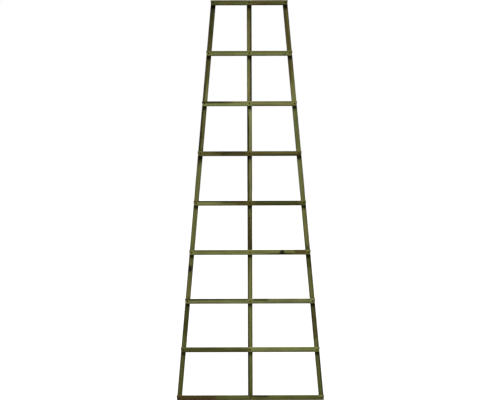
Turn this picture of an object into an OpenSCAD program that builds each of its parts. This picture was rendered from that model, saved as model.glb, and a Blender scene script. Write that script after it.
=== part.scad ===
// Espalier frame: a flat trapezoid trellis of nailed laths.
// Level cross laths lie on the front of three uprights, with one nail at each crossing.
// Millimetres. X runs across, Y from front to back, Z up.
// Z = 0 is the foot, and Y = 0 is the plane where cross laths and uprights meet.

/* [Outline] */
// Height from the foot to the top edge
frame_h = 1800; // [900:10:2400]
// Width across the outer edges at the foot
foot_w = 672; // [400:2:1000]
// Width across the outer edges at the top
top_w = 338; // [200:2:400]

/* [Laths] */
// Width of a lath, seen from the front
lath_w = 22; // [15:0.5:35]
// Thickness of a lath, front to back
lath_t = 11; // [8:0.5:18]
// Rounding of a lath's long edges
edge_r = 1.5; // [0.5:0.1:3]
// Number of cross laths, evenly spaced from the foot to the top
cross_count = 9; // [3:1:15]

/* [Nails] */
// Diameter of a nail's shank
nail_d = 1.8; // [1.2:0.1:2.8]
// Diameter of a nail's head
nail_head_d = 4.5; // [3.5:0.1:7]
// Thickness of a nail's head
nail_head_t = 0.9; // [0.5:0.1:1.5]
// Bevel round the rim of a nail's head
nail_head_bevel = 0.3; // [0.1:0.05:0.4]
// Length of a nail's point
nail_point_l = 2.4; // [1:0.1:4]
// Depth of a nail's head below the face it is driven into
nail_sink = 0.6; // [0.2:0.1:1.5]
// Wood left behind a nail's point
nail_cover = 2; // [1:0.5:4]
// Gap between a nail and the wood round it
nail_gap = 0.05; // [0.02:0.01:0.2]

/* [Hidden] */
$fn = 48;
// How far a cutting shape runs past the faces that it cuts
overcut = 1;
// Colours of the treated wood and of the nails
upright_tone = [0.36, 0.36, 0.2];
cross_tone = [0.43, 0.44, 0.26];
nail_tone = [0.22, 0.2, 0.17];

// Lean of an outer upright from plumb
rake = atan((foot_w - top_w) / 2 / frame_h);
// Width of a raked lath along a level line
raked_w = lath_w / cos(rake);
// Rise from one cross lath to the next
pitch = (frame_h - lath_w) / (cross_count - 1);
// Length of a nail, with its head
nail_l = 2 * lath_t - nail_sink - nail_cover;
// The uprights that a nail can go into: left, centre and right
sides = [-1, 0, 1];

// Half the frame's outer width at a height
function half_w(z) = foot_w / 2 - z * tan(rake);
// Height of a cross lath's centre line, counted from the foot
function cross_z(i) = lath_w / 2 + (i - 1) * pitch;
// Distance from the middle to an outer upright's centre line at a height
function side_x(z) = half_w(z) - raked_w / 2;

// Section of a lath: a rectangle with its four corners rounded
module lath_section() {
    core_w = lath_w - 2 * edge_r;
    core_t = lath_t - 2 * edge_r;
    square([core_w, lath_t], center = true);
    square([lath_w, core_t], center = true);
    for (x = [-1, 1], y = [-1, 1]) {
        translate([x * core_w / 2, y * core_t / 2]) circle(r = edge_r);
    }
}

// A straight length of lath that stands on Z = 0
module lath(length) {
    linear_extrude(height = length) lath_section();
}

// The frame's trapezoid as a block, past its top, foot, front and back
module outline_block() {
    low = -overcut;
    high = frame_h + overcut;
    corners = [
        [-half_w(low), low],
        [half_w(low), low],
        [half_w(high), high],
        [-half_w(high), high]
    ];
    rotate([90, 0, 0]) {
        linear_extrude(height = 2 * (lath_t + overcut), center = true) polygon(corners);
    }
}

// The space between the level planes at the foot and at the top
module level_block() {
    depth = 2 * (lath_t + overcut);
    translate([-foot_w, -depth / 2, 0]) cube([2 * foot_w, depth, frame_h]);
}

// Puts a child at a crossing, where its local Z runs into the wood from the head of the nail
module at_crossing(i, side) {
    z = cross_z(i);
    translate([side * side_x(z), nail_sink - lath_t, z]) rotate([-90, 0, 0]) children();
}

// One nail: a bevelled flat head, a round shank and a cone for its point
module nail() {
    head_r = nail_head_d / 2;
    shank_r = nail_d / 2;
    rotate_extrude() polygon([
        [0, 0],
        [head_r - nail_head_bevel, 0],
        [head_r, nail_head_bevel],
        [head_r, nail_head_t],
        [shank_r, nail_head_t],
        [shank_r, nail_l - nail_point_l],
        [0, nail_l]
    ]);
}

// The hole that a nail fills: its head rests on the floor of the wide part
module nail_hole() {
    head_r = nail_head_d / 2 + nail_gap;
    shank_r = nail_d / 2 + nail_gap;
    mouth = -nail_sink - overcut;
    rotate_extrude() polygon([
        [0, mouth],
        [head_r, mouth],
        [head_r, nail_head_t],
        [shank_r, nail_head_t],
        [shank_r, nail_l - nail_point_l],
        [0, nail_l + nail_gap]
    ]);
}

// An upright: a raked or plumb lath, cut level at the foot and the top
module upright(side) {
    spare = lath_w;
    color(upright_tone) difference() {
        intersection() {
            translate([side * foot_w / 2, lath_t / 2, 0]) rotate([0, -side * rake, 0]) {
                translate([-side * lath_w / 2, 0, -spare]) lath(frame_h / cos(rake) + 2 * spare);
            }
            level_block();
        }
        for (i = [1 : cross_count]) {
            at_crossing(i, side) nail_hole();
        }
    }
}

module left_upright() {
    upright(-1);
}

module centre_upright() {
    upright(0);
}

module right_upright() {
    upright(1);
}

// A cross lath: its ends are cut to the rake, flush with the outer uprights
module cross_lath(i) {
    z = cross_z(i);
    length = foot_w + 2 * overcut;
    color(cross_tone) difference() {
        intersection() {
            translate([-length / 2, -lath_t / 2, z]) rotate([0, 90, 0]) lath(length);
            outline_block();
        }
        for (side = sides) {
            at_crossing(i, side) nail_hole();
        }
    }
}

// The three nails of a cross lath
module nails(i) {
    color(nail_tone) {
        for (side = sides) {
            at_crossing(i, side) nail();
        }
    }
}

left_upright();
centre_upright();
right_upright();
for (i = [1 : cross_count]) {
    cross_lath(i);
    nails(i);
}
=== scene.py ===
"""Dresses the espalier frame in treated pine and dull steel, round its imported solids."""

import bisect
import math
from typing import NamedTuple

import bmesh
import bpy
from bpy.props import FloatProperty, FloatVectorProperty, PointerProperty
from mathutils import Matrix, Vector, noise


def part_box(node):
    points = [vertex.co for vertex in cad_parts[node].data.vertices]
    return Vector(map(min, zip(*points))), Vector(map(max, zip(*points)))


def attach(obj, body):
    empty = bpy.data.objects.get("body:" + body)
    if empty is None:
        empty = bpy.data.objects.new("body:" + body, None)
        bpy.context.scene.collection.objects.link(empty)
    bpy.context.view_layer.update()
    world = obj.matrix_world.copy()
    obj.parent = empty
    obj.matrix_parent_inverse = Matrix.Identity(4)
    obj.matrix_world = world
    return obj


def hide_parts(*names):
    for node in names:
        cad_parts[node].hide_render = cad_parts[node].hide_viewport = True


bl_info = {
    "name": "Espalier Frame",
    "version": (1, 0, 0),
    "blender": (4, 5, 0),
    "location": "3D View > Sidebar > Espalier",
    "description": "Models the nailed laths of an espalier frame and sets them on a plain stage",
    "category": "Object",
}

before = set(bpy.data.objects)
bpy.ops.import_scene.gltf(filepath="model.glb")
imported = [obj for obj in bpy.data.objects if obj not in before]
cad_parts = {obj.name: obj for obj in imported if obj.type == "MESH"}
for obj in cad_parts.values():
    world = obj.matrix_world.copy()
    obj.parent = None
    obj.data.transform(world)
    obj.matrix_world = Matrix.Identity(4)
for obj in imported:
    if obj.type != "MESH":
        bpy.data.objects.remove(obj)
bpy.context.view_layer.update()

# Lath space is in millimetres: x along the grain, y across the width, z towards the front
MM = 0.001
ALONG = Vector((1, 0, 0))
ACROSS = Vector((0, 1, 0))
FACING = Vector((0, 0, 1))
FRONT = Vector((0, -1, 0))


def node_corners(node):
    """The lowest and highest corners of a node of the frame, in millimetres."""
    return [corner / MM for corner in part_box(node)]


# Sizes read from the frame, in millimetres
CROSS_COUNT = sum(node.startswith("cross_lath_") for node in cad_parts)
FOOT_LOW, FOOT_HIGH = node_corners("cross_lath_1")
TOP_LOW, TOP_HIGH = node_corners(f"cross_lath_{CROSS_COUNT}")
NAIL_LOW, NAIL_HIGH = node_corners("nails_1")
LATH_WIDTH = FOOT_HIGH.z - FOOT_LOW.z
LATH_THICKNESS = FOOT_HIGH.y - FOOT_LOW.y
FRAME_HEIGHT = TOP_HIGH.z
RAKE_SLOPE = (FOOT_HIGH.x - TOP_HIGH.x) / (TOP_LOW.z - FOOT_LOW.z)
RAKE_STRETCH = math.hypot(1, RAKE_SLOPE)
NAIL_HEAD_RADIUS = (NAIL_HIGH.z - NAIL_LOW.z) / 2
NAIL_SINK = NAIL_LOW.y - FOOT_LOW.y
NAIL_LENGTH = NAIL_HIGH.y - NAIL_LOW.y

# Sides of a lath on its bake map: which way each faces, the way round the lath, and its middle line
GUTTER = 2.0
SIDES = (
    (FACING, ACROSS, LATH_WIDTH / 2),
    (ACROSS, -FACING, LATH_WIDTH + GUTTER + LATH_THICKNESS / 2),
    (-FACING, -ACROSS, 1.5 * LATH_WIDTH + LATH_THICKNESS + 2 * GUTTER),
    (-ACROSS, FACING, 2 * LATH_WIDTH + 1.5 * LATH_THICKNESS + 3 * GUTTER),
)
COLUMN_WIDTH = 2 * LATH_WIDTH + 2 * LATH_THICKNESS + 4 * GUTTER
SLOT_LENGTH = LATH_THICKNESS + GUTTER

# How finely a lath is cut, in millimetres
STRIP = 1.5
RING = 3.0
PATCH_STRIPS = 3
ROUNDING_STEPS = 4
BORE_SIDES = 8 * PATCH_STRIPS
END_BEVEL = 0.35
END_BEVEL_STEPS = 2
HOLE_GAP = 0.05
SAME_PLACE = 1e-4
ON_PLANE = 1e-5
SHARP_ANGLE = math.radians(40)

# How a lath wears, in millimetres
SWELL_LENGTH = 70
SWELL_WIDTH = 9
SWELL_DEPTH = 0.08
MEAN_DEPTH = 0.1
RUB_LENGTH = 38
KNOCK_LENGTH = 8
CHIP_WIDTH = 3
CHIP_DEPTH = 0.25
KNOT_SINK = 0.16
KNOT_LIP = 0.07

# Edges of a lath: across runs up on a cross lath, and to the left on an upright
UPPER = LEFT = 1.0
LOWER = RIGHT = -1.0
BOTH = 0.0


class Stain(NamedTuple):
    """A stretch of a lath in another tone, mostly where it took the treatment differently; one row is a
    painted shadow.
    """

    tone: str
    start: float
    end: float
    strength: float = 1.0
    # The edge that it lies along, and how far it reaches past the centre line from there
    side: float = BOTH
    reach: float = 30.0
    # How far its ends run out along the grain
    run: float = 90.0


class Knot(NamedTuple):
    """A knot that goes through a lath, flared to the lower edge and stretched along the grain."""

    along: float
    across: float
    radius: float
    flare: float = 0.0
    stretch: float = 1.4


class Timber(NamedTuple):
    """The character of one lath's timber: where the pith lay, its tones and its knots."""

    seed: float
    tone: str
    # Where the pith lies across and in depth, and how far it drifts across for each length along
    pith: tuple
    drift: float
    stains: list
    knots: tuple = ()


def laid(*rows):
    """The stains of a lath, in the order in which they lie over each other."""
    return [Stain(*row) for row in rows]


# The timber of each lath: places are in lath space, measured from the middle of the lath
TIMBER = {
    "left_upright": Timber(seed=3.7, tone="olive", pith=(6, -24), drift=0.006, stains=laid(
        ("dark", 745, 930),
        ("soaked", 825, 930, 0.95),
        ("soaked", 775, 850, 0.2),
        ("olive", 740, 870, 0.4, RIGHT, -5.5),
        ("resin", 500, 780, 0.7),
        ("deep", 380, 456, 0.9),
        ("heart", 225, 390, 0.8),
        ("olive", 240, 640, 0.3, RIGHT, -1),
        ("bright", 245, 295, 0.25),
        ("bright", 455, 540, 0.8, RIGHT, -2.5),
        ("resin", 233, 540, 0.9, LEFT, -2),
        ("soaked", 233, 450, 0.9, LEFT, -3.5),
        ("deep", 165, 235),
        # The soaked row below is a painted shadow on the upright just below the cross lath that crosses it
        # at about 223.
        ("soaked", 182, 235, 0.85),
        ("bright", -220, 180, 0.25),
        ("deep", -222, 11, 0.3),
        ("deep", -345, -200, 0.45),
        ("soaked", -250, -215, 0.6, LEFT, -1),
        ("heart", -440, -345, 0.4),
        ("straw", -440, -350, 0.28),
        ("dark", -610, -436),
        ("resin", -620, -530, 0.4),
        ("deep", -930, -600, 0.9),
        ("dark", -930, -690, 0.3),
        ("dark", -930, -830, 0.3),
    ), knots=(Knot(-298, 5, 9),)),
    "centre_upright": Timber(seed=11.2, tone="olive", pith=(-9, 30), drift=-0.004, stains=laid(
        ("heart", 690, 930, 0.45),
        ("resin", 815, 930, 0.5),
        ("heart", 470, 640, 0.3),
        ("bright", 470, 650, 0.55),
        ("bright", 495, 560, 0.6),
        ("bright", 690, 760, 0.4),
        ("straw", 455, 580, 0.65),
        ("pale", 505, 550, 0.4),
        ("straw", 680, 800, 0.3),
        ("resin", 445, 890, 0.95, RIGHT, -2.5),
        ("soaked", 445, 660, 0.95, RIGHT, -3.5),
        ("soaked", 790, 890, 0.7, RIGHT, -4),
        ("bright", 250, 450, 0.9),
        ("bright", 20, 250, 0.5),
        ("pale", 20, 445, 0.45),
        ("straw", 5, 390, 0.45),
        ("straw", 290, 390, 0.3),
        ("pale", 15, 110, 0.2),
        ("pale", 250, 410, 0.75),
        ("deep", 5, 225, 0.6, RIGHT, -4.5),
        # The row below darkens a strip down the left edge of the upright, from 225 below its middle to 456
        # above it.
        ("soaked", -225, 456, 1, LEFT, -2.5),
        ("deep", -222, 5, 0.5),
        ("resin", -235, -60, 0.9, LEFT, 2),
        ("resin", -235, -170, 0.8),
        ("resin", -185, -135, 0.3),
        ("bright", -445, -235, 0.45),
        ("straw", -390, -285, 0.35),
        ("bright", -660, -450, 0.65),
        ("moss", -650, -450, 0.4),
        ("moss", -930, -680, 0.6),
        ("dark", -930, -225, 0.8, LEFT, -3.5),
        ("soaked", -930, -620, 0.85, LEFT, -3.5),
        ("dark", -930, -800, 0.35),
    )),
    "right_upright": Timber(seed=23.9, tone="olive", pith=(3, 26), drift=0.005, stains=laid(
        ("heart", 540, 930),
        ("resin", 600, 930, 0.2),
        ("olive", 470, 900, 0.4, RIGHT, -1),
        ("resin", 560, 900, 0.4, LEFT, -4),
        ("olive", 690, 760, 0.5, LEFT, -5),
        ("bright", 440, 540, 0.7),
        ("straw", 480, 560, 0.35),
        ("heart", 490, 560, 0.25),
        ("moss", 245, 440, 0.4),
        ("bright", 450, 600, 0.35, RIGHT, -2),
        ("bright", -200, 240, 0.3),
        ("heart", -222, 0, 0.15),
        ("straw", -145, -90, 0.3),
        ("moss", 20, 95, 0.4),
        ("deep", -444, -220, 0.5),
        ("deep", -345, -280, 0.5),
        ("dark", -290, -205),
        ("resin", -625, -436, 0.82),
        ("deep", -930, -640, 0.95),
        ("dark", -930, -690, 0.2),
        ("dark", -930, -830, 0.6),
        ("moss", -880, -740, 0.12),
        ("soaked", -930, -640, 0.5, RIGHT, -4.5),
    )),
    "cross_lath_1": Timber(seed=31.4, tone="deep", pith=(-4, -22), drift=0.012, stains=laid(
        ("olive", -105, 318, 0.42),
        ("olive", -105, -10, 0.3),
        ("russet", -360, -150, 0.95),
        ("grey", 318, 360, 0.5),
        ("dark", 60, 330, 0.4, UPPER, -6),
        ("soaked", -15, 75, 1, UPPER, -3.5),
    )),
    "cross_lath_2": Timber(seed=42.6, tone="bright", pith=(8, 25), drift=-0.010, stains=laid(
        ("moss", 20, 350, 0.3),
        ("deep", 0, 350, 0.6, LOWER, -6),
        ("dark", -350, -4, 0.92),
        ("olive", -110, -4, 0.5, UPPER, -2),
        ("soaked", -350, -4, 0.4, LOWER, -6),
        ("deep", 270, 350, 0.4),
    )),
    "cross_lath_3": Timber(seed=57.1, tone="grey", pith=(-12, -20), drift=0.015, stains=laid(
        ("dark", -320, 320, 0.55, LOWER, -5.5),
        ("pale", -320, 60, 0.45),
        ("deep", -320, 40, 0.35, LOWER, -4),
        ("dark", -320, -10, 0.9, UPPER, -5),
        ("soaked", -320, -120, 0.7, UPPER, -5),
        ("dark", 8, 84, 0.9, UPPER, -2),
    )),
    "cross_lath_4": Timber(seed=64.8, tone="olive", pith=(5, 21), drift=-0.016, stains=laid(
        ("bright", -300, 118, 0.65),
        ("pale", -170, 110, 0.3),
        ("deep", -250, -200, 0.2),
        ("deep", -300, -40, 0.5, UPPER, -5),
        ("bright", -30, 215, 0.7, UPPER, 1.5),
        ("dark", -130, 60, 0.4, LOWER, -5.5),
        ("dark", 50, 252, 1, LOWER, -3.5),
        ("soaked", 90, 200, 0.9, LOWER, -5),
        ("heart", 201, 252, 1, BOTH, 30, 24),
        ("russet", 201, 252, 0.4, UPPER, -3, 24),
    ), knots=(Knot(145, -4, 14, 0.3, 0.7),)),
    "cross_lath_5": Timber(seed=73.5, tone="dark", pith=(-7, 24), drift=0.018, stains=laid(
        ("heart", -175, 30, 0.75),
        ("olive", -150, -60, 0.75),
        ("bright", -300, -125, 0.95),
        ("pale", -300, -130, 0.55),
        ("olive", -170, -50, 0.7, LOWER, -4),
        ("deep", -300, -140, 0.35, LOWER, -4),
        ("resin", -140, -20, 0.7, UPPER, -1),
        ("resin", -270, -20, 0.95, UPPER, -5.5),
        ("soaked", -215, -40, 1, UPPER, -5),
        ("soaked", 30, 140, 0.6, UPPER, -5),
        ("deep", 222, 300, 0.75),
    )),
    "cross_lath_6": Timber(seed=86.3, tone="heart", pith=(10, -26), drift=-0.014, stains=laid(
        ("deep", -280, -165, 0.55),
        ("olive", -280, -165, 0.15),
        ("resin", -130, -15, 0.65),
        ("soaked", -165, -20, 1, UPPER, -4),
        ("soaked", -130, -15, 1, LOWER, -5),
        ("soaked", -128, -98, 0.5, BOTH, 30, 20),
        ("resin", 20, 250, 0.9, LOWER, -4),
        ("soaked", 70, 280, 0.9, LOWER, -4),
        ("olive", 108, 150, 0.4, UPPER, 2),
    )),
    "cross_lath_7": Timber(seed=92.7, tone="bright", pith=(-5, -23), drift=0.016, stains=laid(
        ("pale", -210, 15, 0.5, LOWER, 4),
        ("deep", -240, -170, 0.7, UPPER, 1),
        ("dark", -240, -70, 0.9, UPPER, -3),
        ("soaked", -225, -110, 0.9, UPPER, -4.5),
        ("straw", 10, 75, 0.6, UPPER, 2),
        ("straw", 130, 195, 0.4),
        ("heart", 130, 195, 0.15),
        ("heart", 10, 240, 0.75, LOWER, -4.5),
    )),
    "cross_lath_8": Timber(seed=104.2, tone="bright", pith=(7, 27), drift=-0.012, stains=laid(
        ("olive", -210, -70, 0.7),
        ("bright", -210, 220, 0.4, LOWER, -4),
    ), knots=(Knot(156, -5.5, 1.8),)),
    "cross_lath_9": Timber(seed=118.9, tone="deep", pith=(-8, -21), drift=0.014, stains=laid(
        ("olive", -165, 20, 0.4, LOWER, -2),
        ("dark", -150, -20, 0.5, UPPER, -4),
        ("dark", -190, -130, 0.7),
        ("heart", -115, -70, 0.3),
        ("heart", -2, 190, 0.55),
        ("russet", 10, 80, 0.35),
        ("straw", 10, 80, 0.15),
        ("resin", 30, 190, 0.35, LOWER, -5),
    )),
}


class Lath(NamedTuple):
    """One lath of the frame: its place, its run, how its ends are cut and where its nails go."""

    node: str
    middle: Vector
    along: Vector
    length: float
    taper: float
    lean: float
    nails: tuple
    timber: Timber

    def turn(self):
        """The rotation from the frame's axes to lath space."""
        return Matrix((self.along, FRONT.cross(self.along), FRONT))

    def shows_nails(self):
        """Whether its nails are driven in from its front, as on a cross lath, whose ends taper."""
        return self.taper != 0


def cross_lath(number):
    """A level lath of the front layer, counted from the foot, with its ends cut to the rake."""
    node = f"cross_lath_{number}"
    low, high = node_corners(node)
    length = high.x - low.x - LATH_WIDTH * RAKE_SLOPE
    nail_reach = length / 2 - LATH_WIDTH * RAKE_STRETCH / 2
    return Lath(
        node=node,
        middle=(low + high) / 2,
        along=Vector((1, 0, 0)),
        length=length,
        taper=-RAKE_SLOPE,
        lean=0.0,
        nails=(-nail_reach, 0.0, nail_reach),
        timber=TIMBER[node],
    )


def upright(node, side):
    """A lath of the back layer, raked inwards by side (-1 left, 0 plumb, 1 right), with level ends."""
    low, high = node_corners(node)
    slope = side * RAKE_SLOPE
    stretch = math.hypot(1, slope)
    edge_at_foot = max(abs(low.x), abs(high.x))
    middle_x = side * (edge_at_foot - LATH_WIDTH * stretch / 2 - FRAME_HEIGHT / 2 * RAKE_SLOPE)
    heights = [cross_lath(number).middle.z for number in range(1, CROSS_COUNT + 1)]
    return Lath(
        node=node,
        middle=Vector((middle_x, (low.y + high.y) / 2, FRAME_HEIGHT / 2)),
        along=Vector((-slope, 0, 1)).normalized(),
        length=FRAME_HEIGHT * stretch,
        taper=0.0,
        lean=slope,
        nails=tuple((height - FRAME_HEIGHT / 2) * stretch for height in heights),
        timber=TIMBER[node],
    )


def number_setting(name, description, default, **measure):
    """A setting that is a number."""
    return FloatProperty(name=name, description=description, default=default, **measure)


def size_setting(name, description, metres):
    """A setting that is a length."""
    return number_setting(name, description, metres, unit="LENGTH")


def angle_setting(name, description, degrees):
    """A setting that is an angle."""
    return number_setting(name, description, math.radians(degrees), subtype="ANGLE")


def tone_setting(name, description, tone):
    """A setting that is a colour."""
    return FloatVectorProperty(name=name, description=description, default=tone, subtype="COLOR")


class EspalierTimber(bpy.types.PropertyGroup):
    """Sizes and tones of the treated pine."""

    edge_rounding: size_setting("Edge Rounding", "Radius of a lath's long edges", 0.0015)
    edge_wear: size_setting("Edge Wear", "Depth of the deepest knocks along a lath's long edges", 0.0007)
    ring_width: size_setting("Ring Width", "Width of a year's growth", 0.0028)
    roughness: number_setting("Roughness", "Roughness of the dry planed face", 0.78, subtype="FACTOR")
    pale: tone_setting("Pale Olive", "Sapwood that took little of the treatment", (0.216, 0.232, 0.080))
    bright: tone_setting("Bright Olive", "Sapwood that took the treatment evenly", (0.174, 0.188, 0.063))
    moss: tone_setting("Moss Olive", "Sapwood that took a greener tone", (0.120, 0.140, 0.042))
    olive: tone_setting("Olive", "Common tone of the treated sapwood", (0.134, 0.143, 0.045))
    deep: tone_setting("Deep Olive", "Sapwood that took more of the treatment", (0.093, 0.099, 0.028))
    dark: tone_setting("Dark Olive", "Sapwood that is soaked dark", (0.060, 0.063, 0.016))
    soaked: tone_setting("Soaked Olive", "Wood that stood longest in the treatment", (0.031, 0.032, 0.011))
    straw: tone_setting("Straw Brown", "Heartwood that has bleached in the sun", (0.205, 0.176, 0.066))
    heart: tone_setting("Heart Brown", "Heartwood that took little of the treatment", (0.097, 0.082, 0.023))
    resin: tone_setting("Dark Brown", "Resinous heartwood", (0.047, 0.037, 0.010))
    russet: tone_setting("Red Brown", "Heartwood with the most resin", (0.061, 0.040, 0.014))
    grey: tone_setting("Pale Grey", "Sapwood that has dried to a greyer tone", (0.157, 0.166, 0.071))
    knot: tone_setting("Knot Brown", "Heart of a knot", (0.012, 0.012, 0.006))


class EspalierNails(bpy.types.PropertyGroup):
    """Sizes and tones of the nails."""

    shank: size_setting("Shank", "Diameter of a nail's shank", 0.0018)
    head_thickness: size_setting("Head Thickness", "Thickness of a nail's head", 0.0009)
    point_length: size_setting("Point Length", "Length of a nail's point", 0.0024)
    steel: tone_setting("Steel", "Dull steel of a nail", (0.012, 0.011, 0.008))
    rust: tone_setting("Rust", "Rust on a nail", (0.018, 0.010, 0.004))


class EspalierStage(bpy.types.PropertyGroup):
    """The floor, the light and the camera."""

    floor_size: size_setting("Floor Size", "Length of the floor's sides", 40.0)
    floor_tone: tone_setting(
        "Floor Tone", "Colour of the floor as it lights the frame from below", (0.05, 0.05, 0.05)
    )
    key_strength: number_setting("Key Strength", "Light from the front and above", 5.4)
    key_height: angle_setting("Key Height", "How high the key light stands over the horizon", 59)
    key_spread: angle_setting("Key Spread", "Width of the key light, which softens its shadows", 27)
    rim_strength: number_setting("Rim Strength", "Light from behind on either side", 1.8)
    back_strength: number_setting("Back Strength", "Light from straight behind and above", 3.2)
    ambient: number_setting("Ambient", "Light from all round", 0.1)
    camera_place: FloatVectorProperty(
        name="Camera Place",
        description="Where the camera stands",
        default=(0.001, -3.5, 1.12),
        subtype="TRANSLATION",
    )
    camera_tilt: angle_setting("Camera Tilt", "How far the camera looks down", 3.37)
    camera_roll: angle_setting("Camera Roll", "How far the camera leans to one side", -0.18)
    lens: number_setting("Lens", "Focal length on a sensor 36 mm wide", 56.1)


def fade(value, none, full):
    """Rises smoothly from 0 at none to 1 at full."""
    share = min(1.0, max(0.0, (value - none) / (full - none)))
    return share * share * (3 - 2 * share)


# Laths

def even_places(span, step):
    """Places that cut a centred span into an even number of strips about one step wide."""
    count = 2 * max(1, round(span / step / 2))
    return [span * (place / count - 0.5) for place in range(1, count)]


def grain_edges(bm):
    """Edges that run along the grain."""
    return [edge for edge in bm.edges if (edge.verts[1].co - edge.verts[0].co).yz.length < SAME_PLACE]


def slice_at(bm, direction, places):
    """Cuts the faces by planes square to a direction."""
    for place in places:
        parts = bm.verts[:] + bm.edges[:] + bm.faces[:]
        point = direction * place
        bmesh.ops.bisect_plane(bm, geom=parts, dist=ON_PLANE, plane_co=point, plane_no=direction)


def round_over(bm, edges, offset, segments):
    """Bevels edges to a round."""
    bmesh.ops.bevel(
        bm,
        geom=edges,
        offset=offset,
        segments=segments,
        profile=0.5,
        affect="EDGES",
        material=-1,
    )


def cut_rings(bm, marks, patch):
    """Cuts the stretches between marks into rings, finer in the patches round the nails."""
    stretches = [[] for _ in marks[1:]]
    for edge in grain_edges(bm):
        middle = (edge.verts[0].co.x + edge.verts[1].co.x) / 2
        stretches[bisect.bisect(marks, middle) - 1].append(edge)
    for start, end, edges in zip(marks, marks[1:], stretches):
        spacing = STRIP if end - start < patch + SAME_PLACE else RING
        cuts = round((end - start) / spacing) - 1
        if cuts > 0:
            bmesh.ops.subdivide_edges(bm, edges=edges, cuts=cuts, use_grid_fill=True)


def cut_ends(bm, lath, last_mark):
    """Slopes both ends of a lath as its taper and lean say."""
    free_end = lath.length / 2 - last_mark
    for vert in bm.verts:
        past = abs(vert.co.x) - last_mark
        if past > 0:
            slope = lath.lean + math.copysign(lath.taper, vert.co.x)
            vert.co.x += vert.co.y * slope * past / free_end
    bm.normal_update()
    rims = []
    for edge in bm.edges:
        on_end = sum(abs(face.normal.x) > 0.9 for face in edge.link_faces)
        if on_end == 1:
            rims.append(edge)
    round_over(bm, rims, END_BEVEL, END_BEVEL_STEPS)


def planed_blank(lath, rounding):
    """A lath as it comes from the planer: long edges rounded, ends sawn, cut into strips and rings."""
    bm = bmesh.new()
    bmesh.ops.create_cube(bm, size=1.0)
    bmesh.ops.scale(bm, vec=(lath.length, LATH_WIDTH, LATH_THICKNESS), verts=bm.verts)
    round_over(bm, grain_edges(bm), rounding, ROUNDING_STEPS)
    strips = even_places(LATH_WIDTH - 2 * rounding, STRIP)
    slice_at(bm, ACROSS, strips)
    slice_at(bm, FACING, even_places(LATH_THICKNESS - 2 * rounding, STRIP))
    half_patch = PATCH_STRIPS * (strips[1] - strips[0])
    marks = [place + way * half_patch for place in lath.nails for way in (-1, 1)]
    slice_at(bm, ALONG, marks)
    cut_rings(bm, [-lath.length / 2, *marks, lath.length / 2], 2 * half_patch)
    cut_ends(bm, lath, marks[-1])
    return bm, half_patch


def worn_depth(point, lath, rounding, wear):
    """How far handling and drying have taken the surface in at a point of a lath."""
    seed = lath.timber.seed
    from_side = LATH_WIDTH / 2 - abs(point.y)
    from_face = LATH_THICKNESS / 2 - abs(point.z)
    swell_at = Vector((point.x / SWELL_LENGTH, point.y / SWELL_WIDTH, point.z / SWELL_WIDTH + seed))
    depth = MEAN_DEPTH + SWELL_DEPTH * noise.noise(swell_at)
    arris = fade(from_side + from_face, 1.7 * rounding, 0.5 * rounding)
    if arris > 0:
        corner = math.copysign(31, point.y) + math.copysign(67, point.z) + seed
        rub = noise.noise(Vector((point.x / RUB_LENGTH, corner, 0.5)))
        knock = noise.noise(Vector((point.x / KNOCK_LENGTH, corner, 3.5)))
        depth += arris * wear * (0.15 + 0.35 * max(0.0, rub) + 1.6 * max(0.0, knock - 0.45))
    from_end = lath.length / 2 - abs(point.x)
    chip_at = Vector((point.y / CHIP_WIDTH, point.z / CHIP_WIDTH, seed + math.copysign(5, point.x)))
    depth += CHIP_DEPTH * fade(from_end, 2.5, 0.5) * max(0.0, noise.noise(chip_at))
    for knot in lath.timber.knots:
        up = (point.y - knot.across) / knot.radius
        spread = knot.stretch * knot.radius * max(0.1, 1 - knot.flare * up)
        away = math.hypot((point.x - knot.along) / spread, up)
        depth += KNOT_SINK * fade(away, 1.0, 0.6) - KNOT_LIP * fade(away, 1.7, 1.2)
    return max(0.0, depth)


def weather(bm, lath, rounding, wear):
    """Wears the surface of a lath, always inwards."""
    bm.normal_update()
    for vert in bm.verts:
        vert.co -= vert.normal * worn_depth(vert.co, lath, rounding, wear)


def open_patch(bm, along, facing, half_patch):
    """Takes a square of faces off one broad side and returns the edges round it."""
    square = set()
    for face in bm.faces:
        middle = face.calc_center_median()
        near = abs(middle.x - along) < half_patch and abs(middle.y) < half_patch
        if near and middle.z * facing > LATH_THICKNESS / 4:
            square.add(face)
    edges = {edge for face in square for edge in face.edges}
    loop = [edge for edge in edges if not square.issuperset(edge.link_faces)]
    bmesh.ops.delete(bm, geom=list(square), context="FACES")
    return loop


def extruded(bm, loop):
    """Extrudes a loop of edges and returns the new vertices."""
    made = bmesh.ops.extrude_edge_only(bm, edges=loop)["geom"]
    return [item for item in made if isinstance(item, bmesh.types.BMVert)]


def draw_in(bm, loop, along, facing, radius, depth):
    """Draws a loop of edges in to a ring round a nail's axis, at a depth below one broad side."""
    ring = set(extruded(bm, loop))
    middle = Vector((along, 0, facing * (LATH_THICKNESS / 2 - depth)))
    step = math.tau / BORE_SIDES
    for vert in ring:
        turn = step * round(math.atan2(vert.co.y, vert.co.x - along) / step)
        vert.co = middle + radius * Vector((math.cos(turn), math.sin(turn), 0))
    return list({edge for vert in ring for edge in vert.link_edges if edge.other_vert(vert) in ring})


def bore(bm, along, facing, half_patch, steps):
    """Bores into one broad side through steps of radius and depth, and returns the last ring."""
    ring = open_patch(bm, along, facing, half_patch)
    for radius, depth in steps:
        ring = draw_in(bm, ring, along, facing, radius, depth)
    return ring


def nail_sizes():
    """Radius of a nail's shank, thickness of its head and length of its point, in millimetres."""
    nails = bpy.context.scene.espalier_nails
    return nails.shank / MM / 2, nails.head_thickness / MM, nails.point_length / MM


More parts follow.
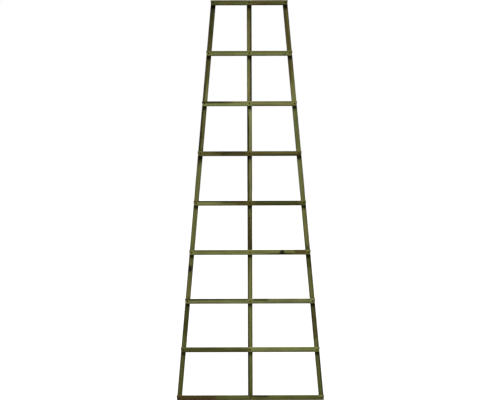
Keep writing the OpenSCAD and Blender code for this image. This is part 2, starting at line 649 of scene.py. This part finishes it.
def nail_seats(bm, lath, half_patch):
    """Holes in a cross lath: a crushed dimple, a seat for the head and a way through for the shank."""
    shank, head_thickness, _ = nail_sizes()
    wide = NAIL_HEAD_RADIUS + HOLE_GAP
    narrow = shank + HOLE_GAP
    seat = NAIL_SINK + head_thickness
    steps = ((wide * 1.5, 0.16), (wide * 1.06, 0.34), (wide, 0.5), (wide, seat), (narrow, seat))
    for along in lath.nails:
        front_ring = bore(bm, along, 1, half_patch, steps)
        back_ring = bore(bm, along, -1, half_patch, [(narrow, MEAN_DEPTH)])
        bmesh.ops.bridge_loops(bm, edges=front_ring + back_ring)


def nail_ends(bm, lath, half_patch):
    """Blind holes in an upright for the ends of its nails."""
    shank, _, point_length = nail_sizes()
    narrow = shank + HOLE_GAP
    tip = NAIL_SINK + NAIL_LENGTH - LATH_THICKNESS + HOLE_GAP
    for along in lath.nails:
        ring = bore(bm, along, 1, half_patch, [(narrow, MEAN_DEPTH), (narrow, tip - point_length)])
        tip_at = (along, 0, LATH_THICKNESS / 2 - tip)
        bmesh.ops.pointmerge(bm, verts=extruded(bm, ring), merge_co=tip_at)


def bake_places(face, lath, columns):
    """Where a face's corners go on a lath's bake map: a side in a column, an end or a hole in a slot."""
    middle = face.calc_center_median()
    corners = [loop.vert.co for loop in face.loops]
    number = min(range(len(lath.nails)), key=lambda nail: abs(lath.nails[nail] - middle.x))
    nail = Vector((lath.nails[number], 0))
    arm = middle.xy - nail
    ends_at = columns * COLUMN_WIDTH + LATH_WIDTH / 2
    if arm.length < NAIL_HEAD_RADIUS * 1.15 and abs(face.normal.z) < 0.7:
        slot = (2 + number) * SLOT_LENGTH
        turn = math.atan2(arm.y, arm.x)
        turns = [(turn - arm.angle_signed(corner.xy - nail, 0.0)) / math.tau for corner in corners]
        return [(ends_at + share * LATH_WIDTH, slot + corner.z) for share, corner in zip(turns, corners)]
    if abs(face.normal.x) > 0.7:
        slot = (middle.x > 0) * SLOT_LENGTH
        return [(ends_at + corner.y, slot + corner.z) for corner in corners]
    _, round_lath, side_at = max(SIDES, key=lambda side: face.normal.dot(side[0]))
    length = lath.length / columns
    column = min(columns - 1, max(0, math.floor(middle.x / length + columns / 2)))
    side_at += column * COLUMN_WIDTH
    start = column * length - lath.length / 2
    return [(side_at + corner.dot(round_lath), corner.x - start) for corner in corners]


def lay_bake_map(bm, lath):
    """Lays a lath's surface out flat for baking, in columns, so that a map shows its fine grain."""
    bm.normal_update()
    bmesh.ops.recalc_face_normals(bm, faces=bm.faces)
    layer = bm.loops.layers.uv.new("OFBake")
    columns = round(math.sqrt(lath.length / COLUMN_WIDTH))
    width = columns * COLUMN_WIDTH + LATH_WIDTH + 2 * GUTTER
    height = lath.length / columns + LATH_THICKNESS + 2 * GUTTER
    for face in bm.faces:
        for loop, (across, up) in zip(face.loops, bake_places(face, lath, columns)):
            up += LATH_THICKNESS / 2 + GUTTER
            loop[layer].uv = (1 - (across + GUTTER) / width, up / height)


def set_in_frame(bm, lath):
    """Moves a lath from lath space to its place in the frame, in metres."""
    turn_back = lath.turn().transposed().to_4x4()
    place = Matrix.Translation(lath.middle * MM) @ turn_back @ Matrix.Scale(MM, 4)
    bmesh.ops.transform(bm, matrix=place, verts=bm.verts)


def place_object(name, data):
    """A new object in the scene."""
    made = bpy.data.objects.new(name, data)
    bpy.context.scene.collection.objects.link(made)
    return made


def mesh_object(bm, name, material):
    """A new object in the scene that takes over a mesh."""
    mesh = bpy.data.meshes.new(name)
    bm.to_mesh(mesh)
    bm.free()
    mesh.materials.append(material)
    return place_object(name, mesh)


def finish_piece(bm, name, node, material):
    """Makes a finished piece that stands for a node of the frame."""
    bmesh.ops.recalc_face_normals(bm, faces=bm.faces)
    if not all(edge.is_contiguous for edge in bm.edges):
        raise RuntimeError(f"{name} isn't closed, or its faces don't agree")
    piece = mesh_object(bm, name, material)
    piece.data.shade_smooth()
    piece.data.set_sharp_from_angle(angle=SHARP_ANGLE)
    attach(piece, "root")
    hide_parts(node)


def make_lath(lath, bore_holes):
    """Models one lath and gives it its own timber."""
    timber = bpy.context.scene.espalier_timber
    rounding = timber.edge_rounding / MM
    bm, half_patch = planed_blank(lath, rounding)
    weather(bm, lath, rounding, timber.edge_wear / MM)
    bore_holes(bm, lath, half_patch)
    lay_bake_map(bm, lath)
    set_in_frame(bm, lath)
    finish_piece(bm, f"{lath.node}_timber", lath.node, pine_material(lath, timber))


# Nails

MOST_LEAN = math.radians(0.1)


def nail_profile():
    """Radius and depth of a nail's outline in millimetres, from the crown of its head to its tip."""
    shank, head_thickness, point_length = nail_sizes()
    head = NAIL_HEAD_RADIUS
    point = NAIL_LENGTH - point_length
    return (
        (0.0, 0.0),
        (head * 0.45, 0.02),
        (head * 0.8, 0.07),
        (head * 0.93, 0.16),
        (head * 0.99, 0.32),
        (head, 0.5),
        (head * 0.97, head_thickness * 0.85),
        (head * 0.9, head_thickness),
        (shank, head_thickness),
        (shank, point),
        (shank * 0.5, point + point_length * 0.55),
        (0.0, NAIL_LENGTH),
    )


def add_nail(bm, place, profile, tilt):
    """Spins one nail round its axis and drives it in at a crossing."""
    outline = [bm.verts.new((radius, 0, depth)) for radius, depth in profile]
    edges = [bm.edges.new(pair) for pair in zip(outline, outline[1:])]
    before = set(bm.verts) - set(outline)
    bmesh.ops.spin(
        bm,
        geom=outline + edges,
        cent=(0, 0, 0),
        axis=(0, 0, 1),
        angle=math.tau,
        steps=BORE_SIDES,
        use_merge=True,
    )
    made = [vert for vert in bm.verts if vert not in before]
    bmesh.ops.remove_doubles(bm, verts=made, dist=SAME_PLACE)
    made = [vert for vert in bm.verts if vert not in before]
    into_wood = Matrix.Rotation(-math.pi / 2, 4, "X")
    turn = Matrix.Rotation(tilt, 4, "Z") @ into_wood
    matrix = Matrix.Translation(place * MM) @ turn @ Matrix.Scale(MM, 4)
    bmesh.ops.transform(bm, matrix=matrix, verts=made)


def make_nails(number, material):
    """Models the three nails of a cross lath."""
    lath = cross_lath(number)
    profile = nail_profile()
    bm = bmesh.new()
    for side, along in enumerate(lath.nails):
        place = Vector((lath.middle.x + along, FOOT_LOW.y + NAIL_SINK, lath.middle.z))
        lean = noise.noise(Vector((number * 1.7, side * 2.3, 0.4)))
        add_nail(bm, place, profile, MOST_LEAN * lean)
    finish_piece(bm, f"nails_{number}_steel", f"nails_{number}", material)


# Node trees

class Net:
    """Adds nodes to an emptied tree and joins them, so that a formula reads in order."""

    def __init__(self, tree):
        self.tree = tree
        tree.nodes.clear()

    def node(self, kind, inputs=None, **settings):
        """The outputs of a new node, with its settings made and its inputs fed by name or number."""
        made = self.tree.nodes.new(kind)
        for name, value in settings.items():
            setattr(made, name, value)
        for name, value in (inputs or {}).items():
            if isinstance(value, bpy.types.NodeSocket):
                self.tree.links.new(value, made.inputs[name])
            else:
                made.inputs[name].default_value = value
        return made.outputs

    def maths(self, operation, *terms):
        """The result of one sum."""
        return self.node("ShaderNodeMath", dict(enumerate(terms)), operation=operation)[0]

    def times(self, product, *terms):
        """The product of its terms."""
        for term in terms:
            product = self.maths("MULTIPLY", product, term)
        return product

    def minus(self, first, second):
        """The first term less the second."""
        return self.maths("SUBTRACT", first, second)

    def plus(self, base, term, share=1.0):
        """A base with a share of a term added to it."""
        return self.maths("MULTIPLY_ADD", term, share, base)

    def fade(self, value, none, full):
        """Rises smoothly from 0 at none to 1 at full."""
        inputs = {"Value": value, "From Min": none, "From Max": full}
        return self.node("ShaderNodeMapRange", inputs, interpolation_type="SMOOTHSTEP")[0]

    def length(self, across, up):
        """The length of a line that goes so far across and so far up."""
        return self.maths("SQRT", self.plus(self.times(up, up), across, across))

    def parts(self, vector):
        """The three parts of a vector."""
        return self.node("ShaderNodeSeparateXYZ", {0: vector})[:]

    def noise(self, where, stretch, detail):
        """Noise from 0 to 1, with a cycle in each direction about 1 / stretch long."""
        inputs = {0: where["Point"], 1: stretch, 2: where["Seed"]}
        place = self.node("ShaderNodeVectorMath", inputs, operation="MULTIPLY_ADD")[0]
        return self.node("ShaderNodeTexNoise", {"Vector": place, "Scale": 1.0, "Detail": detail})[0]

    def stray(self, where, stretch, detail):
        """Noise from -0.5 to 0.5."""
        return self.minus(self.noise(where, stretch, detail), 0.5)

    def blend(self, factor, first, second, how="MIX"):
        """A mix of two colours."""
        inputs = {0: factor, 6: first, 7: second}
        return self.node("ShaderNodeMix", inputs, data_type="RGBA", blend_type=how)[2]

    def tint(self, colour, by):
        """A colour multiplied by another."""
        return self.blend(1.0, colour, by, "MULTIPLY")

    def cover(self, colour, mask, share, by):
        """A colour with a share of another laid over it where a mask lies."""
        return self.blend(self.times(mask, share), colour, by)

    def wash(self, colour, mask, share, by):
        """A colour with a share of a tint laid over it where a mask lies."""
        return self.cover(colour, mask, share, self.tint(colour, by))

    def effect(self, build, inputs):
        """The outputs of an effect's shared group, with its inputs fed by name."""
        return self.node("ShaderNodeGroup", inputs, node_tree=shared_group(build, inputs))


# Kinds of the groups' sockets that aren't plain values
SOCKETS = {
    "Point": "NodeSocketVector",
    "Seed": "NodeSocketVector",
    "Colour": "NodeSocketColor",
    "Tone": "NodeSocketColor",
}


def add_sockets(tree, way, names):
    """Gives a group its named inputs or outputs."""
    for name in names:
        kind = SOCKETS.get(name, "NodeSocketFloat")
        tree.interface.new_socket(name=name, in_out=way, socket_type=kind)


def shared_group(build, inputs):
    """The group of an effect, named for the function that builds it on first use."""
    name = build.__name__.replace("_", " ").title()
    tree = bpy.data.node_groups.get(name)
    if tree is None:
        tree = bpy.data.node_groups.new(name, "ShaderNodeTree")
        add_sockets(tree, "INPUT", inputs)
        net = Net(tree)
        results = build(net, net.node("NodeGroupInput"))
        add_sockets(tree, "OUTPUT", results)
        net.node("NodeGroupOutput", results)
    return tree


# Effects

def pine_grain(net, given):
    """Fibres, long streaks and slow blotches along the grain."""
    return {
        "Fibre": net.noise(given, (0.03, 1.9, 1.9), 4.0),
        "Streak": net.noise(given, (0.007, 0.33, 0.33), 4.0),
        "Blotch": net.noise(given, (0.016, 0.05, 0.05), 3.0),
    }


def growth_rings(net, given):
    """Growth rings round a pith that wanders: dark latewood that ends sharply."""
    along, across, facing = net.parts(given["Point"])
    wander = net.plus(-4.5, net.noise(given, (0.005, 0.03, 0.03), 2.0), 9.0)
    across = net.minus(across, given["Pith Across"])
    across = net.minus(across, net.times(along, given["Drift"]))
    facing = net.minus(facing, given["Pith Depth"])
    radius = net.plus(net.length(net.plus(across, wander), facing), given["Bend"])
    year = net.maths("FRACT", net.maths("DIVIDE", radius, given["Ring Width"]))
    return {"Latewood": net.times(net.fade(year, 0.3, 0.88), net.fade(year, 1.0, 0.92))}


def treatment_stain(net, given):
    """Lays a tone over a stretch of a lath, with an edge that runs out along the streaks."""
    along, across, _ = net.parts(given["Point"])
    stray = net.minus(given["Streak"], 0.5)
    along = net.plus(along, stray, given["Run"])
    outside = net.maths("DIVIDE", given["Run"], -9.0)
    within = net.maths("DIVIDE", given["Run"], 9.0)
    started = net.fade(net.minus(along, given["Start"]), outside, within)
    ended = net.fade(net.minus(given["End"], along), outside, within)
    inside = net.plus(given["Reach"], across, given["Side"])
    inside = net.fade(net.plus(inside, stray, 14.0), -1.5, 1.5)
    mask = net.times(started, ended, inside, given["Strength"])
    return {"Colour": net.blend(mask, given["Colour"], given["Tone"])}


def timber_knot(net, given):
    """A knot: its dark heart, the bark ring round it, and how it bends the growth rings."""
    along, across, facing = net.parts(given["Point"])
    along = net.minus(along, given["Along"])
    across = net.plus(net.minus(across, given["Across"]), facing, 0.12)
    up = net.maths("DIVIDE", across, given["Radius"])
    spread = net.maths("MAXIMUM", net.minus(1.0, net.times(up, given["Flare"])), 0.1)
    spread = net.times(spread, given["Radius"], given["Stretch"])
    away = net.length(net.maths("DIVIDE", along, spread), up)
    away = net.plus(away, net.stray(given, (0.35, 0.5, 0.5), 3.0), 0.5)
    return {
        "Heart": net.fade(away, 1.05, 0.85),
        "Bark": net.times(net.fade(away, 0.75, 0.95), net.fade(away, 1.25, 1.05)),
        "Halo": net.fade(away, 2.6, 0.9),
        "Bend": net.times(net.fade(away, 3.2, 0.6), given["Radius"], 1.1),
    }


def lath_edges(net, given):
    """The rounded long edges, the bands beside them that take painted edge shade, and the sawn ends of a
    lath.
    """
    along, across, facing = [net.maths("ABSOLUTE", part) for part in net.parts(given["Point"])]
    stray = net.stray(given, (0.05, 0.25, 0.25), 3.0)
    from_side = net.minus(given["Half Width"], across)
    from_arris = net.plus(from_side, net.minus(given["Half Thickness"], facing))
    from_end = net.minus(given["Half Length"], along)
    return {
        "Arris": net.fade(net.plus(from_arris, stray, 1.6), 1.7, 0.7),
        "Margin": net.fade(net.plus(from_arris, stray, 5.0), 6.0, 1.0),
        "End": net.fade(net.plus(from_end, stray, 22.0), 9.0, -1.0),
    }


def nail_marks(net, given):
    """The crushed wood round each nail on the front of a cross lath, with its iron stain and painted dimple
    shade, and where it laps.
    """
    along, across, facing = net.parts(given["Point"])
    from_middle = net.maths("ABSOLUTE", along)
    from_outer = net.maths("ABSOLUTE", net.minus(from_middle, given["Nail Reach"]))
    nearest = net.maths("MINIMUM", from_middle, from_outer)
    away = net.plus(net.length(nearest, across), net.stray(given, (0.3, 0.6, 0.6), 3.0), 1.6)
    run = net.times(net.fade(nearest, 2.4, 0.8), net.fade(across, 0.5, -1.5))
    run = net.times(run, net.fade(across, -8.0, -2.0), 0.3)
    # The ring round the nail is iron stain and painted shade over the dimple; the run below it is iron
    # stain.
    mark = net.maths("MAXIMUM", net.fade(away, 4.8, 2.9), run)
    on_front = net.fade(facing, 2.0, 4.0)
    lap = net.fade(nearest, 13.0, 9.0)
    return {"Mark": net.times(mark, on_front), "Lap": net.times(lap, on_front)}


def drying_checks(net, given):
    """Fine drying checks that follow the grain in places."""
    line = net.maths("ABSOLUTE", net.stray(given, (0.004, 0.32, 0.32), 1.0))
    place = net.noise(given, (0.011, 0.09, 0.09), 1.0)
    return {"Check": net.times(net.fade(line, 0.012, 0.002), net.fade(place, 0.56, 0.64))}


# Materials

# Washes over the timber: how much of each, and its tint
SOAKED_TINT = (0.48, 0.5, 0.45, 1.0)
LATEWOOD = (0.75, (0.62, 0.55, 0.46, 1.0))
# The next wash is painted shade in a band along every long edge of a lath.
PAINTED_EDGE_SHADE = (0.75, (0.5, 0.5, 0.46, 1.0))
RUBBED = (0.6, (1.35, 1.3, 1.3, 1.0))
END_GRAIN = (0.8, SOAKED_TINT)
KNOT_HALO = (0.5, SOAKED_TINT)
# The next wash is a painted highlight where a cross lath laps over an upright.
PAINTED_LAP_HIGHLIGHT = (1.0, (1.16, 1.14, 1.1, 1.0))

# Marks that cover the timber: how much of each, and its colour
BARK = (0.7, (0.006, 0.005, 0.004, 1.0))
# The next mark is iron stain round a nail, with painted shade over its dimple.
IRON_STAIN_AND_DIMPLE_SHADE = (0.9, (0.012, 0.012, 0.005, 1.0))
DRYING_CHECK = (0.7, (0.012, 0.010, 0.005, 1.0))

# Nail heads
SCUFF_BLACK = (0.006, 0.006, 0.005, 1.0)
HATCH_PITCH = 0.55


def opaque(colour):
    """A colour with its alpha."""
    return (*colour, 1.0)


def new_material(name):
    """A new node material, and a net for its nodes."""
    material = bpy.data.materials.new(name)
    material.use_nodes = True
    return material, Net(material.node_tree)


def dress(net, shader, height, strength, distance):
    """Gives a material a shader, and raises its surface by a height of up to a distance in metres."""
    bump = {"Strength": strength, "Distance": distance, "Height": height}
    inputs = shader | {"Normal": net.node("ShaderNodeBump", bump)[0]}
    surface = net.node("ShaderNodeBsdfPrincipled", inputs)[0]
    net.node("ShaderNodeOutputMaterial", {"Surface": surface})


def object_point(net, place):
    """Object coordinates in millimetres, turned and moved to a place."""
    inputs = {"Vector": net.node("ShaderNodeTexCoord")["Object"], "Scale": (1 / MM,) * 3}
    return net.node("ShaderNodeMapping", inputs | place, vector_type="POINT")[0]


def named_inputs(row):
    """The values of a stain or a knot, by the names of its group's inputs."""
    return {name.title(): value for name, value in row._asdict().items()}


def timber_tones(net, timber, tones, where):
    """The tone of a lath with its stains laid over it in order."""
    colour = opaque(getattr(tones, timber.tone))
    for stain in timber.stains:
        tone = opaque(getattr(tones, stain.tone))
        inputs = where | named_inputs(stain) | {"Colour": colour, "Tone": tone}
        colour = net.effect(treatment_stain, inputs)["Colour"]
    return colour


def pine_masks(net, lath, where, bend, ring_width):
    """The masks of a lath's grain, growth rings, drying checks, edges and nails, by name."""
    rings = {
        "Pith Across": lath.timber.pith[0],
        "Pith Depth": lath.timber.pith[1],
        "Drift": lath.timber.drift,
        "Bend": bend,
        "Ring Width": ring_width,
    }
    halves = {
        "Half Width": LATH_WIDTH / 2,
        "Half Thickness": LATH_THICKNESS / 2,
        "Half Length": lath.length / 2,
    }
    effects = {pine_grain: {}, growth_rings: rings, drying_checks: {}, lath_edges: halves}
    if lath.shows_nails():
        effects[nail_marks] = {"Nail Reach": lath.nails[-1]}
    masks = {}
    for build, inputs in effects.items():
        masks |= net.effect(build, where | inputs).items()
    return masks


def pine_colour(net, lath, tones, point, masks, knots):
    """The tones of a lath, as its rings, grain, edges, knots, nails and checks change them."""
    where = {"Point": point, "Streak": masks["Streak"]}
    colour = timber_tones(net, lath.timber, tones, where)
    colour = net.wash(colour, masks["Latewood"], *LATEWOOD)
    shade = net.plus(1.0, net.minus(masks["Fibre"], 0.5), 0.7)
    shade = net.plus(shade, net.minus(masks["Blotch"], 0.5), 0.7)
    colour = net.tint(colour, shade)
    # Painted shade along the long edges, eased where a cross lath laps over an upright
    edge_shade = masks["Margin"]
    if lath.shows_nails():
        edge_shade = net.times(edge_shade, net.plus(1.0, masks["Lap"], -0.7))
    colour = net.wash(colour, edge_shade, *PAINTED_EDGE_SHADE)
    rubbed = net.times(masks["Arris"], net.fade(masks["Blotch"], 0.52, 0.66))
    colour = net.wash(colour, rubbed, *RUBBED)
    colour = net.wash(colour, masks["End"], *END_GRAIN)
    for knot in knots:
        colour = net.wash(colour, knot["Halo"], *KNOT_HALO)
        colour = net.cover(colour, knot["Heart"], 1.0, opaque(tones.knot))
        colour = net.cover(colour, knot["Bark"], *BARK)
    if lath.shows_nails():
        # A painted highlight over each lap
        colour = net.wash(colour, masks["Lap"], *PAINTED_LAP_HIGHLIGHT)
        # Iron stain round the nails, with painted shade over their dimples
        colour = net.cover(colour, masks["Mark"], *IRON_STAIN_AND_DIMPLE_SHADE)
    return net.cover(colour, masks["Check"], *DRYING_CHECK)


def pine_material(lath, tones):
    """Treated pine for one lath, in its own tones and on its own grain."""
    material, net = new_material(f"treated_pine_{lath.node}")
    turn = lath.turn()
    point = object_point(net, {"Location": -(turn @ lath.middle), "Rotation": turn.to_euler("XYZ")})
    where = {"Point": point, "Seed": Vector((lath.timber.seed,) * 3)}
    knots = [net.effect(timber_knot, where | named_inputs(knot)) for knot in lath.timber.knots]
    bend = knots[0]["Bend"] if knots else 0.0
    masks = pine_masks(net, lath, where, bend, tones.ring_width / MM)
    height = net.plus(net.times(masks["Fibre"], 0.7), masks["Latewood"], 0.5)
    height = net.plus(height, masks["Check"], -1.2)
    roughness = net.plus(tones.roughness, masks["Latewood"], -0.1)
    shader = {
        "Base Color": pine_colour(net, lath, tones, point, masks, knots),
        "Roughness": net.plus(roughness, masks["Fibre"], 0.14),
        "Specular IOR Level": 0.06,
    }
    dress(net, shader, height, strength=0.8, distance=0.0004)
    return material


def steel_material(nails):
    """Dull nail steel with rust in spots and a light cross-hatch on the heads."""
    material, net = new_material("nail_steel_dull")
    point = object_point(net, {})
    across, _, up = net.parts(point)
    spots = net.noise({"Point": point, "Seed": (4.0, 4.0, 4.0)}, (0.9, 0.9, 0.9), 4.0)
    rust = net.fade(spots, 0.48, 0.62)
    scuffs = net.noise({"Point": point, "Seed": (9.0, 9.0, 9.0)}, (0.4, 4.0, 5.0), 3.0)
    steel = net.blend(scuffs, opaque(nails.steel), SCUFF_BLACK)
    hatch = [net.maths("SINE", net.times(part, math.tau / HATCH_PITCH)) for part in (across, up)]
    height = net.plus(net.times(*hatch, 0.4), spots, 0.8)
    shader = {
        "Base Color": net.blend(rust, steel, opaque(nails.rust)),
        "Metallic": net.plus(0.4, rust, -0.35),
        "Roughness": net.plus(0.65, rust, 0.2),
        "Specular IOR Level": 0.05,
    }
    dress(net, shader, height, strength=0.7, distance=0.0001)
    return material


# Stage

WHITE = (1.0, 1.0, 1.0, 1.0)
SHADOW_WHITE = (0.9, 0.9, 0.9, 1.0)
SHADOW_SHARE = 0.14
KEY_HEADING = math.radians(-8)
RIM_HEADING = math.radians(120)
RIM_HEIGHT = math.radians(18)
RIM_SPREAD = math.radians(40)
BACK_HEIGHT = math.radians(40)
BACK_SPREAD = math.radians(30)
SENSOR_WIDTH = 36.0


def seen_or_lit(net, seen, lit):
    """One shader for rays that show the background itself, another for rays that light the frame."""
    rays = net.node("ShaderNodeLightPath")
    shows = net.maths("MAXIMUM", rays["Is Camera Ray"], rays["Is Glossy Ray"])
    shows = net.maths("MAXIMUM", shows, rays["Is Transmission Ray"])
    return net.node("ShaderNodeMixShader", {0: shows, 1: lit, 2: seen})[0]


def floor_material(stage):
    """A floor that looks white, keeps a faint shadow and lights the frame only a little."""
    material, net = new_material("white_floor")
    dim = net.node("ShaderNodeBsdfDiffuse", {"Color": opaque(stage.floor_tone)})[0]
    pale = net.node("ShaderNodeBsdfDiffuse", {"Color": SHADOW_WHITE})[0]
    glow = net.node("ShaderNodeEmission", {"Color": WHITE, "Strength": 1.0})[0]
    white = net.node("ShaderNodeMixShader", {0: SHADOW_SHARE, 1: glow, 2: pale})[0]
    net.node("ShaderNodeOutputMaterial", {"Surface": seen_or_lit(net, white, dim)})
    return material


def lay_floor(stage):
    """The floor under the frame."""
    bm = bmesh.new()
    bmesh.ops.create_grid(bm, x_segments=1, y_segments=1, size=stage.floor_size / 2)
    floor = mesh_object(bm, "stage_floor", floor_material(stage))


def light_world(stage):
    """A white surround that lights the frame softly from all round."""
    world = bpy.data.worlds.new("white_surround")
    world.use_nodes = True
    net = Net(world.node_tree)
    soft = net.node("ShaderNodeBackground", {"Color": WHITE, "Strength": stage.ambient})[0]
    white = net.node("ShaderNodeBackground", {"Color": WHITE, "Strength": 1.0})[0]
    net.node("ShaderNodeOutputWorld", {"Surface": seen_or_lit(net, white, soft)})
    bpy.context.scene.world = world


def hang_sun(name, strength, spread, height, heading):
    """A sun that stands so high over the horizon, turned so far round from the front."""
    light = bpy.data.lights.new(name, "SUN")
    light.energy = strength
    light.angle = spread
    tip = Matrix.Rotation(math.pi / 2 - height, 4, "X")
    place_object(name, light).matrix_world = Matrix.Rotation(heading, 4, "Z") @ tip


def set_camera(stage):
    """The camera at the photograph's viewing angle."""
    camera = bpy.data.cameras.new("photo_camera")
    camera.sensor_fit = "HORIZONTAL"
    camera.sensor_width = SENSOR_WIDTH
    camera.lens = stage.lens
    holder = place_object("photo_camera", camera)
    tilt = Matrix.Rotation(math.pi / 2 - stage.camera_tilt, 4, "X")
    roll = Matrix.Rotation(stage.camera_roll, 4, "Z")
    holder.matrix_world = Matrix.Translation(stage.camera_place) @ tilt @ roll
    bpy.context.scene.camera = holder


# Operators

class ESPALIER_OT_uprights(bpy.types.Operator):
    """Model the plumb centre upright and the two raked ones"""

    bl_idname = "espalier.uprights"
    bl_label = "Uprights"

    def execute(self, context):
        for node, side in (("left_upright", -1), ("centre_upright", 0), ("right_upright", 1)):
            make_lath(upright(node, side), nail_ends)
        return {"FINISHED"}


class ESPALIER_OT_cross_laths(bpy.types.Operator):
    """Model the level laths of the front layer, from the foot up"""

    bl_idname = "espalier.cross_laths"
    bl_label = "Cross Laths"

    def execute(self, context):
        for number in range(1, CROSS_COUNT + 1):
            make_lath(cross_lath(number), nail_seats)
        return {"FINISHED"}


class ESPALIER_OT_nails(bpy.types.Operator):
    """Model the nails, one at each crossing"""

    bl_idname = "espalier.nails"
    bl_label = "Nails"

    def execute(self, context):
        material = steel_material(context.scene.espalier_nails)
        for number in range(1, CROSS_COUNT + 1):
            make_nails(number, material)
        return {"FINISHED"}


class ESPALIER_OT_stage(bpy.types.Operator):
    """Lay the floor, light it and set the camera"""

    bl_idname = "espalier.stage"
    bl_label = "Stage"

    def execute(self, context):
        stage = context.scene.espalier_stage
        lay_floor(stage)
        light_world(stage)
        hang_sun("key_sun", stage.key_strength, stage.key_spread, stage.key_height, KEY_HEADING)
        for name, heading in (("left_rim_sun", -RIM_HEADING), ("right_rim_sun", RIM_HEADING)):
            hang_sun(name, stage.rim_strength, RIM_SPREAD, RIM_HEIGHT, heading)
        hang_sun("back_sun", stage.back_strength, BACK_SPREAD, BACK_HEIGHT, math.pi)
        set_camera(stage)
        context.scene.view_settings.view_transform = "Standard"
        return {"FINISHED"}


class ESPALIER_PT_panel(bpy.types.Panel):
    """Lists the steps that make the espalier frame"""

    bl_label = "Espalier Frame"
    bl_idname = "ESPALIER_PT_panel"
    bl_space_type = "VIEW_3D"
    bl_region_type = "UI"
    bl_category = "Espalier"

    def draw(self, context):
        for operator in OPERATORS:
            self.layout.operator(operator.bl_idname)
        for name in GROUPS:
            settings = getattr(context.scene, name)
            box = self.layout.box()
            for setting in settings.__annotations__:
                box.prop(settings, setting)


OPERATORS = (
    ESPALIER_OT_uprights,
    ESPALIER_OT_cross_laths,
    ESPALIER_OT_nails,
    ESPALIER_OT_stage,
)
GROUPS = {
    "espalier_timber": EspalierTimber,
    "espalier_nails": EspalierNails,
    "espalier_stage": EspalierStage,
}


def register():
    for group in GROUPS.values():
        bpy.utils.register_class(group)
    for name, group in GROUPS.items():
        setattr(bpy.types.Scene, name, PointerProperty(type=group))
    for operator in OPERATORS:
        bpy.utils.register_class(operator)
    bpy.utils.register_class(ESPALIER_PT_panel)


def unregister():
    bpy.utils.unregister_class(ESPALIER_PT_panel)
    for operator in reversed(OPERATORS):
        bpy.utils.unregister_class(operator)
    for name, group in reversed(GROUPS.items()):
        delattr(bpy.types.Scene, name)
        bpy.utils.unregister_class(group)


def main():
    register()
    bpy.ops.espalier.uprights()
    bpy.ops.espalier.cross_laths()
    bpy.ops.espalier.nails()
    bpy.ops.espalier.stage()


if __name__ == "__main__":
    main()
